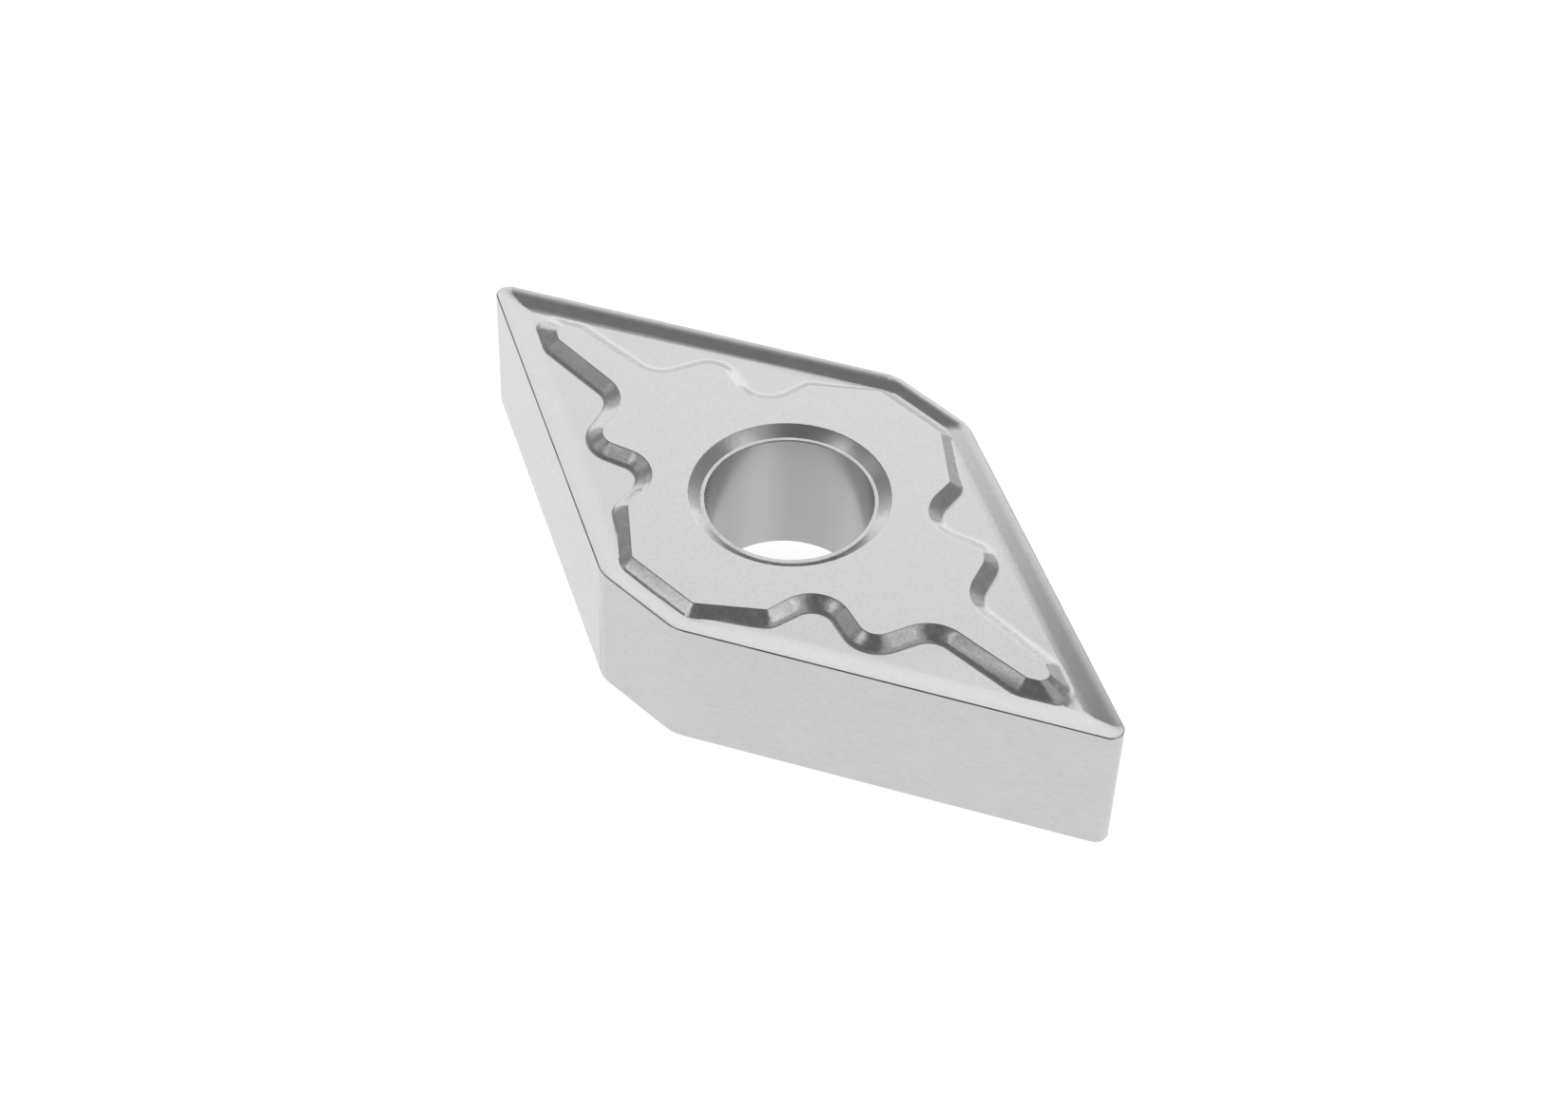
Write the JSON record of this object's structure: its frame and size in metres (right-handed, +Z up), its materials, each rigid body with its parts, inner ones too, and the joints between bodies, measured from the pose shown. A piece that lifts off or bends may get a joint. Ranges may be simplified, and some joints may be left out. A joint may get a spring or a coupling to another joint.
{
  "type": "turning insert",
  "caption": "Double-sided rhombic turning insert with cut-off obtuse corners, a waved chip groove and a countersunk clamping hole.",
  "frame": {"origin": "middle of the lower seating face, on the axis of the clamping hole", "axes": "+Z up the clamping hole, +X along the long diagonal to an acute cutting corner, +Y towards a cut-off obtuse corner"},
  "size_m": [0.0266, 0.0126, 0.0049],
  "materials": {
    "carbide": "satin sintered grey"
  },
  "bodies": {
    "root": {"insert": "carbide"}
  },
  "joints": []
}
